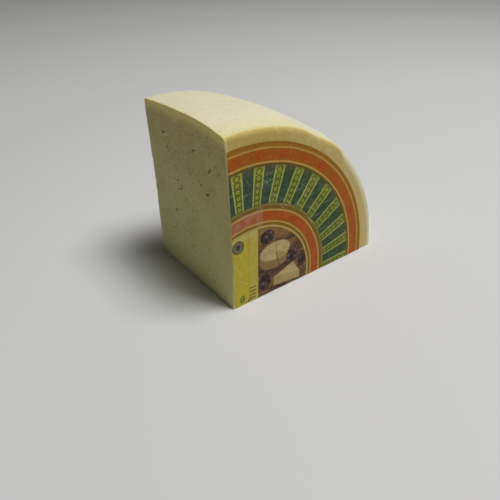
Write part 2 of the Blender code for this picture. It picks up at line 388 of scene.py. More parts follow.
# %% Places of the eyes on the upright cut
# distance in from the label, height, length, breadth (all in mm), and how steeply the long side rises
# towards the label, in degrees
PLAIN_EYES = np.array([
    (29.4, 127.2, 6.4, 3.4, 45), (22.2, 131.8, 3.0, 1.3, 50), (53.4, 138.2, 6.0, 2.6, 25),
    (61.4, 134.4, 3.4, 1.4, 30), (44.0, 144.0, 2.6, 1.1, 35), (103.0, 140.0, 5.4, 2.4, 15),
    (99.6, 126.2, 3.2, 1.9, 40), (61.0, 115.2, 2.6, 1.2, 60), (44.2, 109.0, 3.4, 2.0, 40),
    (34.0, 104.0, 7.0, 2.4, 10), (31.0, 101.4, 2.8, 1.5, 30), (84.4, 99.2, 4.6, 2.2, 30),
    (79.6, 92.0, 3.8, 2.6, 20), (74.4, 80.4, 3.0, 1.7, 25), (69.8, 84.0, 2.6, 1.3, 35),
    (64.8, 80.0, 2.4, 1.3, 30), (59.6, 81.0, 2.4, 1.2, 20), (59.0, 67.2, 3.8, 1.5, 28),
    (92.4, 64.2, 3.8, 2.4, 35), (81.6, 69.0, 2.8, 1.2, 30), (48.0, 50.2, 2.8, 1.1, 25),
    (102.2, 40.4, 3.0, 1.8, 60), (43.0, 15.2, 3.2, 1.6, 35), (32.8, 21.2, 5.4, 1.5, 38),
    (94.0, 17.4, 2.8, 1.6, 30), (81.0, 23.4, 3.0, 1.6, 30), (114.0, 52.4, 2.8, 1.3, 50),
    (26.2, 48.4, 2.6, 1.1, 30), (65.2, 36.4, 2.6, 1.4, 20), (117.2, 44.2, 2.6, 1.3, 40),
    (88.6, 112.0, 2.4, 1.0, 40), (107.0, 92.4, 2.6, 1.2, 35), (38.6, 82.0, 2.4, 1.1, 30),
])
draw = np.random.default_rng(21)
SMALL_EYES, GATHERED_EYES = 115, 64
GATHER = 4.5                            # mm, how far the gathered ones lie from a plain one
CUT_DEPTHS, CUT_HEIGHTS, CLEAR = (8, 121), (6, 158), (7, 120)


def drawn_forms(count, lengths, breadths):
    """Length, breadth and slant of a number of eyes, each drawn evenly between two limits."""
    return [draw.uniform(*lengths, count), draw.uniform(*breadths, count), draw.uniform(0, 80, count)]


small = np.stack([draw.uniform(*CUT_DEPTHS, SMALL_EYES), draw.uniform(*CUT_HEIGHTS, SMALL_EYES),
                  *drawn_forms(SMALL_EYES, (1.2, 3.1), (0.7, 1.35))], 1)
near = PLAIN_EYES[draw.integers(0, len(PLAIN_EYES), GATHERED_EYES)]
gathered = np.stack([near[:, 0] + draw.normal(0, GATHER, GATHERED_EYES),
                     near[:, 1] + draw.normal(0, GATHER, GATHERED_EYES),
                     *drawn_forms(GATHERED_EYES, (1.2, 3.4), (0.8, 1.6))], 1)
gathered = gathered[(gathered[:, 0] > CLEAR[0]) & (gathered[:, 0] < CLEAR[1]) & (gathered[:, 1] > CLEAR[0])]
eyes = np.concatenate([PLAIN_EYES, small, gathered])
print(len(eyes), "eyes from", eyes[:, 3].min().round(1), "to", eyes[:, 2].max(), "mm")


# %% Lumpy balls as cutting tools
BROAD_EYE, DEEP, SHALLOW = 1.75, 1.15, 0.85     # mm across, and depths as shares of the half breadth
SUNK = 0.20                                     # how far a ball's middle lies inside, as such a share


def lumpy_balls(places, seed, rows=9, columns=16):
    """Balls with radius 1 plus waves in latitude and longitude, stretched, turned and set on the cut."""
    draw = np.random.default_rng(seed)
    number = len(places)
    lat = np.linspace(-math.pi / 2, math.pi / 2, rows)[None, :, None]
    lon = np.linspace(0.0, 2 * math.pi, columns + 1)[None, None, :]
    phase = draw.uniform(0.0, 2 * math.pi, (4, number, 1, 1))
    size = 1 + np.cos(lat) * (0.16 * np.sin(2 * lon + phase[0]) + 0.10 * np.sin(3 * lon + phase[1])
                              + 0.08 * np.sin(2 * lat + phase[2]) * np.cos(lon + phase[3]))
    long, broad, slant = places[:, 2] / 2, places[:, 3] / 2, np.radians(180 - places[:, 4])
    u = size * np.cos(lat) * np.cos(lon) * long[:, None, None]
    v = size * np.cos(lat) * np.sin(lon) * broad[:, None, None]
    deep = np.where(places[:, 3] > BROAD_EYE, DEEP, SHALLOW)[:, None, None]
    w = (size * np.sin(lat) * deep - SUNK) * broad[:, None, None]
    c, s = np.cos(slant)[:, None, None], np.sin(slant)[:, None, None]
    in_depth, in_height = u * c - v * s, u * s + v * c
    depth = places[:, 0, None, None] + in_depth
    height = places[:, 1, None, None] + in_height
    x = (w * MM - cut_normal[1] * depth * MM - cut_normal[2] * height * MM) / cut_normal[0]
    return np.stack([CORNER[0] + x, CORNER[1] + depth * MM, CORNER[2] + height * MM], -1)


balls = lumpy_balls(eyes, 22)
tool = in_scene("eye_tools", closed_mesh("eye_tools", list(balls)))
cutting = cheese.modifiers.new("eyes", "BOOLEAN")
cutting.operation, cutting.solver, cutting.object, cutting.use_self = "DIFFERENCE", "EXACT", tool, True
SHARP_EDGE = math.radians(38)


def baked_down(item):
    """The object's mesh with its modifiers applied, smooth but for its sharp edges."""
    view = bpy.context.evaluated_depsgraph_get()
    mesh = bpy.data.meshes.new_from_object(item.evaluated_get(view))
    item.modifiers.clear()
    item.data = mesh
    mesh.shade_smooth()
    mesh.set_sharp_from_angle(angle=SHARP_EDGE)
    print(item.name, "has", sum(len(face.vertices) - 2 for face in mesh.polygons), "triangles")


baked_down(cheese)
bpy.data.objects.remove(tool)

# %% [markdown]
# ## The label as a thin closed sheet
#
# A round label of printed paper under clear film lies over the face and was cut through with the cheese,
# so what is left is a quarter with its corner at the wedge's corner. Spokes from that corner to the
# label's round edge make the sheet, which follows the crowned face a hair's breadth in front of it.
# Creases where it wasn't smoothed down are real bends in the sheet.

# %% The label's sheet
LABEL_RADIUS = 152.3 * MM
LABEL_MIDDLE = AXIS + np.array([-4.2, 0.0, 5.8]) * MM
LABEL_INSET = (0.75 * MM, 0.6 * MM)     # from the upright cut and from the base
FILM = 0.20 * MM                        # thickness of the sheet
FILM_STANDS = 0.38 * MM                 # printed side in front of the cheese
CREASE_HILLS = ((0.07 * MM, 22 * MM, 31), (0.03 * MM, 7 * MM, 32))
LABEL_TURNS, LABEL_SPOKE = 150, 120


def label_sheet():
    """Spokes from the corner to the label's circle, at the face's depth less the film's stand-off."""
    corner = np.array([CORNER[0] + LABEL_INSET[0], 0.0, LABEL_INSET[1]])
    angle = np.linspace(0.0, math.pi / 2 - CUT_LEAN, LABEL_TURNS + 1)
    way = np.stack([np.cos(angle), np.sin(angle)], 1)
    from_middle = corner[[0, 2]] - LABEL_MIDDLE[[0, 2]]
    along = way @ from_middle
    reach = -along + np.sqrt(along ** 2 + LABEL_RADIUS ** 2 - from_middle @ from_middle)
    share = np.linspace(0.0, 1.0, LABEL_SPOKE + 1)[None, :]
    x = corner[0] + way[:, :1] * reach[:, None] * share
    z = corner[2] + way[:, 1:] * reach[:, None] * share
    points = on_face(x, z, 0)
    points[..., 1] += layered(x, z, CREASE_HILLS) - FILM_STANDS
    return points


sheet = label_sheet()
back_sheet = sheet + np.array([0.0, FILM, 0.0])
edges = [np.stack([sheet[side], back_sheet[side]]) for side in (np.s_[:, -1], 0, -1)]
label = in_scene("label_sheet", closed_mesh("label_sheet", [sheet, back_sheet] + edges))
baked_down(label)

# %% [markdown]
# ## Shader sums as Python
#
# A mask such as "between these two radii" is arithmetic. A small class holds a socket and overloads the
# Python operators, so that an expression adds the Math nodes by itself. One method adds any other node.


# %% Sockets that take part in sums
def math_node(operation, reflected=False):
    """A method that adds a Math node for an operation, with its inputs swapped in a reflected form."""
    def method(wire, *others):
        values = (*others, wire) if reflected else (wire, *others)
        return wire.paint.node("Math", {"operation": operation}, dict(enumerate(values)))
    return method


class Wire:
    """A socket of a material's nodes; sums with numbers or other wires add Math nodes."""

    def __init__(self, paint, socket):
        self.paint, self.socket = paint, socket

    __add__, __radd__ = math_node("ADD"), math_node("ADD", reflected=True)
    __sub__, __rsub__ = math_node("SUBTRACT"), math_node("SUBTRACT", reflected=True)
    __mul__, __rmul__ = math_node("MULTIPLY"), math_node("MULTIPLY", reflected=True)
    __truediv__, __rtruediv__ = math_node("DIVIDE"), math_node("DIVIDE", reflected=True)
    __abs__, root, sine = math_node("ABSOLUTE"), math_node("SQRT"), math_node("SINE")
    least, most, angle = math_node("MINIMUM"), math_node("MAXIMUM"), math_node("ARCTAN2")
    exp, whole, part = math_node("EXPONENT"), math_node("FLOOR"), math_node("FRACT")
    log_to_base = math_node("LOGARITHM")

    def __neg__(self):
        return self * -1.0

    def log(self):
        return self.log_to_base(math.e)

    def rise(self, start, end):
        """0 below start, 1 above end and a smooth step between them."""
        return self.paint.node("MapRange", {"interpolation_type": "SMOOTHSTEP"},
                               {"Value": self, "From Min": start, "From Max": end})

    def within(self, start, end, soft):
        """1 between start and end, with edges that are twice as wide as soft."""
        return self.rise(start - soft, start + soft) * (1 - self.rise(end - soft, end + soft))


class Paint:
    """A material whose colour, roughness and bump are worked out in the object's own millimetres."""

    def __init__(self, name):
        self.material = bpy.data.materials.new(name)
        self.material.use_nodes = True
        self.tree = self.material.node_tree
        self.shader = self.tree.nodes["Principled BSDF"]
        in_metres = self.node("TexCoord", out="Object")
        self.place = self.node("VectorMath", {"operation": "SCALE"}, {0: in_metres, "Scale": 1 / MM})

    def node(self, kind, settings=None, sockets=None, out=0):
        """Add a node: its settings first, then its sockets' values or links, and give an output."""
        node = self.tree.nodes.new("ShaderNode" + kind)
        for key, value in (settings or {}).items():
            setattr(node, key, value)
        for key, value in (sockets or {}).items():
            self.plug(node.inputs[key], value)
        return Wire(self, node.outputs[out])

    def plug(self, socket, value):
        """Link a socket to a wire, or set its value, where a colour gets its fourth number."""
        if isinstance(value, Wire):
            self.tree.links.new(value.socket, socket)
        else:
            socket.default_value = (*value, 1.0) if socket.type == "RGBA" else value

    def from_point(self, point):
        """The vector to each place from a point given in metres."""
        return self.node("VectorMath", {"operation": "SUBTRACT"}, {0: self.place, 1: tuple(point / MM)})

    def split(self, vector):
        """The three parts of a vector."""
        node = self.node("SeparateXYZ", None, {0: vector}).socket.node
        return [Wire(self, socket) for socket in node.outputs]

    def turned(self, vector, rotation, scale=(1.0, 1.0, 1.0)):
        """A vector stretched and then turned, for a pattern that runs one way."""
        sockets = {"Vector": vector, "Rotation": rotation, "Scale": scale}
        return self.node("Mapping", {"vector_type": "POINT"}, sockets)

    def mix(self, mask, below, above):
        """The colour below where mask is 0 and the colour above where it is 1."""
        return self.node("Mix", {"data_type": "RGBA"}, {0: mask, 6: below, 7: above}, out=2)

    def coats(self, colour, *coats):
        """Colours laid over one another: each coat is a mask and the colour that shows where it is 1."""
        for mask, above in coats:
            colour = self.mix(mask, colour, above)
        return colour

    def noise(self, scale, detail=3.0, roughness=0.55, at=None):
        """Noise from about 0 to 1 whose lumps are 1 / scale millimetres wide."""
        return self.node("TexNoise", None, {"Vector": at or self.place, "Scale": scale, "Detail": detail,
                                            "Roughness": roughness})

    def bump(self, height, strength):
        """A normal from a height in millimetres."""
        return self.node("Bump", None, {"Height": height, "Strength": strength, "Distance": 1.0 * MM})

    def feed(self, **values):
        """Set or link the shader's own sockets, whose names are written with _ for a space."""
        for key, value in values.items():
            self.plug(self.shader.inputs[key.replace("_", " ")], value)


print("helpers ready: Wire for sums, Paint for materials")

# %% [markdown]
# ## Paste and rind as one solid colour
#
# The rind isn't a coat of paint: it is the dried outside of the paste, so its colour depends on how deep
# a point lies under the wheel's surface. The nodes work out that depth from the wheel's own sizes. Skin
# colour comes first, then a yellower band through which light seeps in from above, then the paste.
# Because the colour is a solid one, skin and band show by themselves where the knife went through.

# %% Depth under the wheel's surface
p = Paint("paste_and_rind")
tipped = p.turned(p.from_point(AXIS), (LEAN, 0.0, 0.0))
sideways, depth, upwards = p.split(tipped)
radius = (sideways * sideways + upwards * upwards).root()
short_front = (WIDEST_DEPTH / MM - depth).most(0.0) / (WIDEST_DEPTH / MM)
short_back = (depth - WIDEST_DEPTH / MM).most(0.0) / ((WHEEL_HEIGHT - WIDEST_DEPTH) / MM)
wall = (WHEEL_RADIUS / MM - SIDE_DROP[0] / MM * short_front * short_front
        - SIDE_DROP[1] / MM * short_back * short_back)
side_turn = upwards.angle(sideways)
near_rim = (1.0 - depth / (WIDEST_DEPTH / MM)).most(0.0).least(1.0)
rim_shift = (sideways * (RIM_SHIFT[0] / MM) + upwards * (RIM_SHIFT[1] / MM)) / radius + RIM_SPREAD / MM
wall = wall + near_rim * rim_shift
for at, size, half in BELLS:
    off_bell = (side_turn - at) / half
    bell_left = ((BELL_GONE / MM - depth) / (BELL_LENGTH / MM)).most(0.0).least(1.0)
    wall = wall + (-(off_bell * off_bell)).exp() * bell_left * (size / MM)
rim_share = radius.least(FACE_REACH / MM) / (WHEEL_RADIUS / MM)
rim_share = rim_share * rim_share
rim_share = rim_share * rim_share
under_side = wall - radius
under_front = depth - CROWN[0] / MM * rim_share
under_back = WHEEL_HEIGHT / MM - CROWN[1] / MM * rim_share - depth
ROUND = SHOULDER[0] / MM


def under_corner(a, b):
    """Depth under a rounded corner: its rounding less the length of what both depths lack of it."""
    lack_a, lack_b = (ROUND - a).most(0.0), (ROUND - b).most(0.0)
    return ROUND - (lack_a * lack_a + lack_b * lack_b).root()


under = under_corner(under_side, under_front).least(under_corner(under_side, under_back))
from_corner = {0: p.from_point(CORNER), 1: tuple(cut_normal)}
past_cut = p.node("VectorMath", {"operation": "DOT_PRODUCT"}, from_corner, out="Value")
print("depth under the rind is worked out by", len(p.tree.nodes), "nodes")

# %% Colours of the paste
# The paste is painted darker towards the top and paler and greener towards the foot: painted shade high up
# and painted bounce light low down.
PASTE_TOP_PAINTED_SHADE, PASTE_MIDDLE, PASTE_LOW_PAINTED_BOUNCE = (0.475, 0.405, 0.140), (0.532, 0.508, 0.196), (0.69, 0.665, 0.290)
PASTE_PALE, PASTE_DEEP = (0.64, 0.62, 0.30), (0.36, 0.32, 0.115)
BAND, EYE_WALL_SHADE, EYE_FLOOR_SHADE = (0.81, 0.71, 0.215), (0.44, 0.34, 0.13), (0.24, 0.185, 0.06)

soft_cloud = p.noise(0.045, 3.0)
small_cloud = p.noise(0.28, 5.0, 0.6)
knife_drag = p.noise(0.9, 4.0, 0.6, at=p.turned(p.place, (math.radians(14), 0.0, 0.0), (1.0, 0.10, 0.55)))
height_mm = p.split(p.place)[2]
band = (1 - (under_side + (p.noise(0.12, 3.0) - 0.5) * 4.0).rise(0.5, 12.5)) * 0.95
# painted shade in the eyes, kept away from the rind
eye_shade_share = under.rise(2.0, 3.0) * 0.6
paste = p.coats(
    PASTE_TOP_PAINTED_SHADE,
    # painted shade towards the top, painted bounce light towards the foot
    (1 - height_mm.rise(65.0, 150.0), PASTE_MIDDLE),
    (1 - height_mm.rise(0.0, 60.0), PASTE_LOW_PAINTED_BOUNCE),
    (soft_cloud.rise(0.42, 0.68) * 0.30, PASTE_PALE),
    (small_cloud.rise(0.52, 0.72) * 0.45, PASTE_DEEP),
    ((1 - small_cloud.rise(0.30, 0.46)) * 0.35, PASTE_PALE),
    (knife_drag.rise(0.52, 0.70) * 0.28, PASTE_DEEP),
    ((1 - knife_drag.rise(0.32, 0.46)) * 0.28, PASTE_PALE),
    (band, BAND),
    # painted shade on the walls and floors of the eyes: the deeper behind the cut, the darker
    (past_cut.within(0.32, 6.0, 0.15) * eye_shade_share, EYE_WALL_SHADE),
    (past_cut.within(0.9, 6.0, 0.5) * eye_shade_share, EYE_FLOOR_SHADE))
print("paste colour uses", len(p.tree.nodes), "nodes")

# %% Colours of the rind
SIDE_SKIN, FAR_SIDE_SKIN, NEAR_FACE_SKIN = (0.85, 0.81, 0.57), (0.90, 0.88, 0.68), (0.84, 0.80, 0.48)
SHOULDER_RIGHT, SHOULDER_TOP = (0.80, 0.75, 0.50), (0.80, 0.71, 0.33)
# The labelled face's rind is partly its own tan and partly painted orange bounce light, as from a labelled
# cheese beside it.
FACE_SKIN_AND_BOUNCE, FACE_CLOUDED = (0.60, 0.44, 0.118), (0.65, 0.48, 0.170)
FACE_RIGHT, FACE_TOP = (0.69, 0.53, 0.185), (0.60, 0.425, 0.090)
KNIFE_EDGE_CRUMBS_AND_HIGHLIGHT, BACK_SKIN = (0.74, 0.68, 0.38), (0.84, 0.77, 0.48)
TAN_CLOUD, GREEN_CLOUD = (0.80, 0.66, 0.38), (0.73, 0.72, 0.46)
DARK_MOTTLE, PALE_MOTTLE, NICK = (0.66, 0.58, 0.32), (0.93, 0.91, 0.72), (0.56, 0.50, 0.26)

to_face = under_side - under_front
side_skin = p.mix(sideways.rise(10.0, 120.0) * 0.8, SIDE_SKIN, FAR_SIDE_SKIN)
turn_share = side_turn.rise(math.radians(42), math.radians(60))   # 0 at the right, 1 at the top
shoulder_skin = p.mix(turn_share, SHOULDER_RIGHT, SHOULDER_TOP)
face_cloud = p.noise(0.11, 4.0, 0.6)
face_skin_and_bounce = p.coats(
    FACE_SKIN_AND_BOUNCE,
    (face_cloud.rise(0.35, 0.68), FACE_CLOUDED),
    ((sideways - upwards).rise(-60.0, 160.0) * 0.75, FACE_RIGHT),
    (side_turn.rise(math.radians(70), math.radians(84)) * 0.8, FACE_TOP))
# Towards the right the shoulder's colour reaches further onto the face: painted light on the right-hand
# shoulder.
on_face_side = (to_face - (1 - turn_share) * 7.4 + 1.4 + (face_cloud - 0.5) * 1.6).rise(-2.0, 1.6)
# A pale line along the near edge of the cut: pale crumbs, and a painted highlight on its rounding.
near_edge = (1 - past_cut.rise(0.4, 1.7)) * under_front.within(-1.0, 1.2, 0.2)
skin_cloud = p.noise(0.09, 5.0, 0.6)
mottle = p.noise(0.42, 5.0, 0.7)
along_streaks = p.turned(p.place, (0.0, 0.0, math.radians(35)), (0.9, 0.16, 0.9))
nick = p.noise(0.55, 2.0, 0.5, at=along_streaks).rise(0.68, 0.74) * p.noise(0.05, 1.0).rise(0.45, 0.55)
skin = p.coats(
    side_skin,
    (to_face.rise(-26.0, -7.0), NEAR_FACE_SKIN),
    (to_face.rise(-8.0, -1.5), shoulder_skin),
    (on_face_side, face_skin_and_bounce),
    (near_edge * 0.8, KNIFE_EDGE_CRUMBS_AND_HIGHLIGHT),
    ((under_side - under_back).rise(-3.0, 3.0), BACK_SKIN),
    (skin_cloud.rise(0.50, 0.72) * 0.32, TAN_CLOUD),
    ((1 - skin_cloud.rise(0.28, 0.5)) * 0.30, GREEN_CLOUD),
    (mottle.rise(0.50, 0.66) * 0.30, DARK_MOTTLE),
    ((1 - mottle.rise(0.34, 0.48)) * (0.38 - on_face_side * 0.30), PALE_MOTTLE),
    (nick * 0.42, NICK))
skin_mask = 1 - (under - past_cut.rise(0.3, 2.5) * 2.0).rise(0.30, 0.75)
skin_mask = skin_mask * (1 - (1 - past_cut.rise(0.25, 0.7)) * 0.75)
colour = p.mix(skin_mask, paste, skin)
print("rind colour brings it to", len(p.tree.nodes), "nodes")

# %% Relief and gloss of the cheese
grain = p.noise(1.3, 4.0, 0.6)
pits = p.node("TexVoronoi", {"feature": "F1"}, {"Vector": p.place, "Scale": 0.42, "Randomness": 1.0})
pit_depth = (1 - pits.rise(0.08, 0.22)) * p.noise(0.15, 2.0).rise(0.48, 0.60)
inside = under.rise(0.3, 1.2)
height = (grain * 0.20 - pit_depth * 0.40 + small_cloud * 0.80 + knife_drag * 0.70) * (inside * 0.8 + 0.2)
height = height - nick * (1 - inside) * 0.35 + (skin_cloud * 0.9 + mottle * 0.22) * (1 - inside)
rough = 0.55 + (soft_cloud - 0.5) * 0.25 + grain * 0.08
p.feed(Base_Color=colour, Roughness=rough, Normal=p.bump(height, 0.8), Specular_IOR_Level=0.35,
       Subsurface_Weight=0.15, Subsurface_Radius=(1.0, 0.65, 0.28), Subsurface_Scale=0.004)
cheese.data.materials.clear()
cheese.data.materials.append(p.material)
print("cheese painted with", len(p.tree.nodes), "nodes")

# %% [markdown]
# ## The printed label
#
# The print is rings and rays round the label's middle, so it is drawn from two numbers: the distance
# from the middle and the angle about it. Each ring is a mask on the distance, and the rays are a mask on
# the fractional part of the angle over their pitch. The label was laid on by hand and isn't quite round:
# it is pulled out along its diagonal, more so towards the middle.

# %% Distance and angle on the label
q = Paint("label_print")
on_label = q.from_point(LABEL_MIDDLE)
lx, _, lz = q.split(on_label)
length = (lx * lx + lz * lz).root()
PULL, PULL_GONE = 6.3, 170              # mm, at the middle, and the distance where it has died away
pulled = lx * lz * 2 / (length * length) * (1 - length / PULL_GONE) * PULL
ring_at = length - pulled + (q.noise(0.05, 2.0) - 0.5) * 0.9
turn_deg = lz.angle(lx) * (180 / math.pi)
RAY_PITCH, RAY_START = 10.48, 102.38    # degrees: one dark and one light ray, and where a dark one begins
RAY_LOW, RAY_HIGH = 96.6, 131.2         # mm from the label's middle
DARK_SHARE, LIGHT_END = 0.505, 0.99     # of a pair: the dark ray's share, and where the light one ends
LIGHT_MIDDLE, LIGHT_SHARE = (DARK_SHARE + LIGHT_END) / 2, LIGHT_END - DARK_SHARE
ray_count = (RAY_START - turn_deg) / RAY_PITCH + 20.0
ray, ray_number = ray_count.part(), ray_count.whole()
print("a pair of rays takes", round(math.radians(RAY_PITCH) * 115, 1), "mm half way up")

# %% Plain fields of the rays
DARK_TEAL, DARK_GREEN, DARK_WORN = (0.044, 0.088, 0.051), (0.036, 0.082, 0.025), (0.075, 0.095, 0.05)
RAY_GREEN, RAY_WORN, RAY_PALE = (0.40, 0.44, 0.052), (0.29, 0.34, 0.05), (0.54, 0.56, 0.170)
RAY_LOW_RIGHT_SHADE, RAY_TOP = (0.22, 0.29, 0.035), (0.54, 0.56, 0.075)
PAINTED_WRINKLE_REFLECTION, ORNAMENT, GAP_OLIVE = (0.23, 0.24, 0.17), (0.050, 0.075, 0.006), (0.15, 0.105, 0.018)

streaks = q.noise(0.35, 3.0, 0.6, at=q.turned(on_label, (0.0, math.radians(24), 0.0), (0.14, 1.0, 1.0)))
dark = q.coats(
    DARK_GREEN,
    (turn_deg.rise(55.0, 88.0), DARK_TEAL),
    (q.noise(0.10, 3.0).rise(0.45, 0.7) * 0.5, DARK_WORN),
    # painted reflections: greyish streaks from wrinkles in the film over the dark rays
    (streaks.rise(0.55, 0.70) * 0.55, PAINTED_WRINKLE_REFLECTION))
light = q.coats(
    RAY_GREEN,
    (q.noise(0.2, 4.0).rise(0.4, 0.65) * 0.6, RAY_WORN),
    # painted shade: the light rays darker towards the lower right
    ((1 - turn_deg.rise(20.0, 50.0)) * 0.35, RAY_LOW_RIGHT_SHADE),
    (turn_deg.rise(70.0, 95.0) * 0.5, RAY_TOP))
on_light = ray.rise(DARK_SHARE - 0.008, DARK_SHARE + 0.008) * (1 - ray.rise(0.986, 0.999))
edge_line = ray.within(DARK_SHARE, DARK_SHARE + 0.045, 0.010) + ray.within(0.945, 0.988, 0.010)
rays = q.coats(
    dark,
    (on_light, light),
    (edge_line.least(1.0) * 0.8, RAY_PALE),
    (ring_at.rise(RAY_HIGH - 9, RAY_HIGH) * 0.35, GAP_OLIVE))
print("dark and light rays bring the label to", len(q.tree.nodes), "nodes")

# %% Plaited ornament on the light rays
CELLS, PLAIT_END, END_RING_AT = 6, (4.85, 4.95), 5.42   # counted from the inner end of the ray
STRAND_SWING, STRAND_HALF = 0.27, 0.075                 # as shares of the ray's width
across = (ray - LIGHT_MIDDLE) / LIGHT_SHARE             # -0.5 to 0.5 over the ray
up_ray = (ring_at / RAY_LOW).log() * (CELLS / math.log(RAY_HIGH / RAY_LOW))
cell_tall = math.log(RAY_HIGH / RAY_LOW) / CELLS / (math.radians(RAY_PITCH) * LIGHT_SHARE)
wave = (up_ray * math.pi).sine() * STRAND_SWING
slope = (up_ray * math.pi + math.pi / 2).sine() * (STRAND_SWING * math.pi / cell_tall)
steep = (slope * slope + 1.0).root()
near_strand = abs(across - wave).least(abs(across + wave)) / steep
in_plait = 1 - up_ray.rise(*PLAIT_END)
plait = (1 - near_strand.rise(STRAND_HALF * 0.6, STRAND_HALF * 1.5)) * in_plait
in_cell = (up_ray.part() - 0.5) * cell_tall
bead = 1 - ((across * across) * 2.2 + in_cell * in_cell).root().rise(0.06, 0.12)
by_knot = ((up_ray + 0.5).part() - 0.5) * cell_tall
leaf_across = abs(across) - 0.30
leaf = 1 - (leaf_across * leaf_across + by_knot * by_knot * 0.5).root().rise(0.06, 0.13)
from_ring = (up_ray - END_RING_AT) * cell_tall
end_ring = (across * across + from_ring * from_ring).root().within(0.20, 0.30, 0.03)
ornament = plait.most(bead.most(leaf) * in_plait).most(end_ring)
rays = q.mix(ornament * ray.within(DARK_SHARE + 0.03, 0.965, 0.01) * 0.82, rays, ORNAMENT)
print("one plait cell is", round(cell_tall, 2), "of the ray's width tall")

# %% Rings
BROWN_ORANGE, RED_ORANGE, LINE_YELLOW = (0.36, 0.150, 0.005), (0.43, 0.115, 0.002), (0.62, 0.335, 0.066)
INNER_RED, LINE_OLIVE, LINE_GREEN = (0.46, 0.097, 0.003), (0.27, 0.145, 0.012), (0.27, 0.25, 0.055)
INNER_OLIVE, INNER_CREAM, PANEL = (0.24, 0.135, 0.014), (0.60, 0.42, 0.13), (0.59, 0.485, 0.042)
WORN_BAND = (0.33, 0.125, 0.008)
OUTER_BAND, INNER_BAND = (136.0, 146.1), (80.2, 89.1)   # mm from the label's middle
SOFT = 0.30
RINGS = (
    (148.2, 160.0, BROWN_ORANGE), (146.3, 148.0, LINE_YELLOW), (*OUTER_BAND, RED_ORANGE),
    (133.7, 135.7, LINE_YELLOW), (94.7, 96.1, LINE_GREEN), (91.6, 94.6, INNER_OLIVE),
    (89.3, 91.2, LINE_YELLOW), (*INNER_BAND, INNER_RED), (78.0, 79.8, LINE_YELLOW),
    (75.8, 77.8, LINE_OLIVE), (73.6, 75.4, INNER_CREAM), (0.0, 73.4, PANEL),
)
in_rays = ring_at.within(RAY_LOW, RAY_HIGH, 0.5)
uneven = q.noise(0.12, 4.0, 0.6)
on_band = ring_at.within(*OUTER_BAND, SOFT) + ring_at.within(*INNER_BAND, SOFT)
print_colour = q.coats(
    GAP_OLIVE,
    (in_rays, rays),
    *((ring_at.within(start, end, SOFT), shade) for start, end, shade in RINGS),
    (on_band * uneven.rise(0.48, 0.72) * 0.40, WORN_BAND))
print("rings, rays and plaits drawn with", len(q.tree.nodes), "nodes")

# %% Red dots in the two orange rings
OUTER_LINE, DOT_RED = (0.46, 0.20, 0.012), (0.52, 0.055, 0.006)
DOTS = ((141.0, 4.1, 1.0), (84.6, 3.2, 0.7))            # mm from the label's middle, radius, strength
beside_dot = ((ray - LIGHT_MIDDLE + 0.5).part() - 0.5) * (math.radians(RAY_PITCH) * 0.85) * ring_at
dot_strength = 0.62 + 0.30 * (ray_number * 2.4).sine()


def dot(middle, reach, share):
    """1 in a round dot, less in its middle, in line with every light ray, each with its own strength."""
    off_dot = ring_at - middle
    distance = (beside_dot * beside_dot + off_dot * off_dot).root()
    disc = 1 - distance.rise(reach * 0.8, reach * 1.1)
    return disc * (0.55 + 0.45 * distance.rise(reach * 0.25, reach * 0.5)) * dot_strength * share


print_colour = q.coats(
    print_colour,
    (ring_at.within(148.3, 149.6, 0.5) * 0.6, OUTER_LINE),
    *((dot(*sizes), DOT_RED) for sizes in DOTS))
print("dots bring the label to", len(q.tree.nodes), "nodes")

# %% [markdown]
# ## The middle of the label
#
# Here the print is fields of colour and simple shapes: a yellow panel with a roundel, dashes, bars and a
# leaf, and beside it a plain picture of a cheese, a slice and bunches of grapes on wood. Each form is a
# mask: an ellipse is a sum of squares, and a convex polygon is the least of the distances from its sides.


# %% Simple shapes as masks
FROM_CORNER = (15.7, 1.1)        # mm, from the wedge's corner to the label's middle
panel_x, panel_z = lx + FROM_CORNER[0], lz + FROM_CORNER[1]


def ellipse(x, z, half_wide, half_tall, soft=0.08):
    """1 where the squares of both distances over the half axes add up to less than 1."""
    a, b = (panel_x - x) / half_wide, (panel_z - z) / half_tall
    return 1 - (a * a + b * b).root().rise(1 - soft, 1 + soft)


def side_on(x0, z0, x1, z1):
    """The direction of a line between two points, its length, and the distance to its left."""
    long = math.hypot(x1 - x0, z1 - z0)
    ux, uz = (x1 - x0) / long, (z1 - z0) / long
    return ux, uz, long, (panel_z - z0) * ux - (panel_x - x0) * uz


def polygon(*corners):
    """1 inside a convex polygon given anticlockwise: the least distance from its sides, made a step."""
    first, *others = [side_on(*start, *end)[3] for start, end in zip(corners, corners[1:] + corners[:1])]
    for off in others:
        first = first.least(off)
    return first.rise(-0.35, 0.35)


def box(left, right, low, high):
    """1 inside an upright rectangle."""
    return polygon((left, low), (right, low), (right, high), (left, high))


def most_of(masks):
    """The greatest of several masks, point by point."""
    greatest, *others = masks
    for mask in others:
        greatest = greatest.most(mask)
    return greatest


print("the middle of the label lies", FROM_CORNER, "mm from the wedge's corner")

# %% The yellow panel
GOLD, RIGHT_GOLD, TOP_GOLD = (0.60, 0.44, 0.020), (0.60, 0.50, 0.085), (0.62, 0.53, 0.190)
DASH, FOLD, BAR, LEAF = (0.24, 0.20, 0.060), (0.30, 0.26, 0.06), (0.100, 0.085, 0.030), (0.11, 0.19, 0.03)
ROUNDEL, ROUNDEL_RING, ROUNDEL_EYE = (0.085, 0.072, 0.040), (0.34, 0.31, 0.20), (0.030, 0.027, 0.018)
BAR_FOOT, BAR_TALL, BAR_PITCH, BARS = 2.8, 1.9, 3.9, 4      # mm; equal plain bars
BAR_LEFT, BAR_RIGHT = 17.9, 25.0

